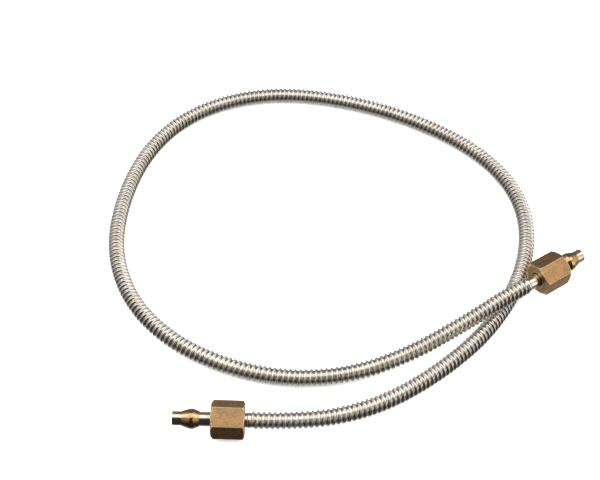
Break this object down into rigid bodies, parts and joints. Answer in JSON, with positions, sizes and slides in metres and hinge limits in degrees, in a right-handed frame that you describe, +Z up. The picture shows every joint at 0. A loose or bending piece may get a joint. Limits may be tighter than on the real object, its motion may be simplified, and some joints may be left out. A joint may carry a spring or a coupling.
{
  "type": "corrugated gas hose",
  "caption": "Flexible corrugated stainless gas hose lying in a loop, with a plain tube stub, a loose olive and a loose compression nut at each end.",
  "frame": {"origin": "on the surface the hose lies on, midway between the two end fittings (the bottom centre of the box round the tube stubs, olives and nuts)", "axes": "+Z up, +X along the tube at end A towards the middle of the hose, so end A points along -X; +Y towards the far side of the loop"},
  "size_m": [0.2945, 0.3018, 0.029],
  "materials": {
    "hose_steel": "bright annealed stainless strip, satin on the crests",
    "tube_steel": "drawn stainless tube, fine lengthwise marks",
    "weld_steel": "bright fused bead",
    "olive_brass": "turned brass, polished",
    "nut_brass": "aged brass, mottled faces with worn bright edges"
  },
  "bodies": {
    "hose": {"corrugated_hose": "hose_steel", "stub_tube_a": "tube_steel", "stub_tube_b": "tube_steel", "weld_ring_a": "weld_steel", "weld_ring_b": "weld_steel"},
    "olive_a": {"olive_a": "olive_brass"},
    "nut_a": {"compression_nut_a": "nut_brass"},
    "olive_b": {"olive_b": "olive_brass"},
    "nut_b": {"compression_nut_b": "nut_brass"}
  },
  "joints": [
    {"name": "olive_a_turn", "type": "hinge", "parent": "hose", "child": "olive_a", "pos_m": [-0.11, -0.0605, 0.011], "axis": [-1, 0, 0], "continuous": true},
    {"name": "nut_a_slide", "type": "slide", "parent": "olive_a", "child": "nut_a", "axis": [-1, 0, 0], "range_m": [-0.0032, 0.0218]},
    {"name": "olive_b_turn", "type": "hinge", "parent": "hose", "child": "olive_b", "pos_m": [0.10879, 0.05961, 0.0184], "axis": [0.8184, 0.5722, 0.0532], "continuous": true},
    {"name": "nut_b_slide", "type": "slide", "parent": "olive_b", "child": "nut_b", "axis": [0.8184, 0.5722, 0.0532], "range_m": [-0.0045, 0.0167]}
  ]
}
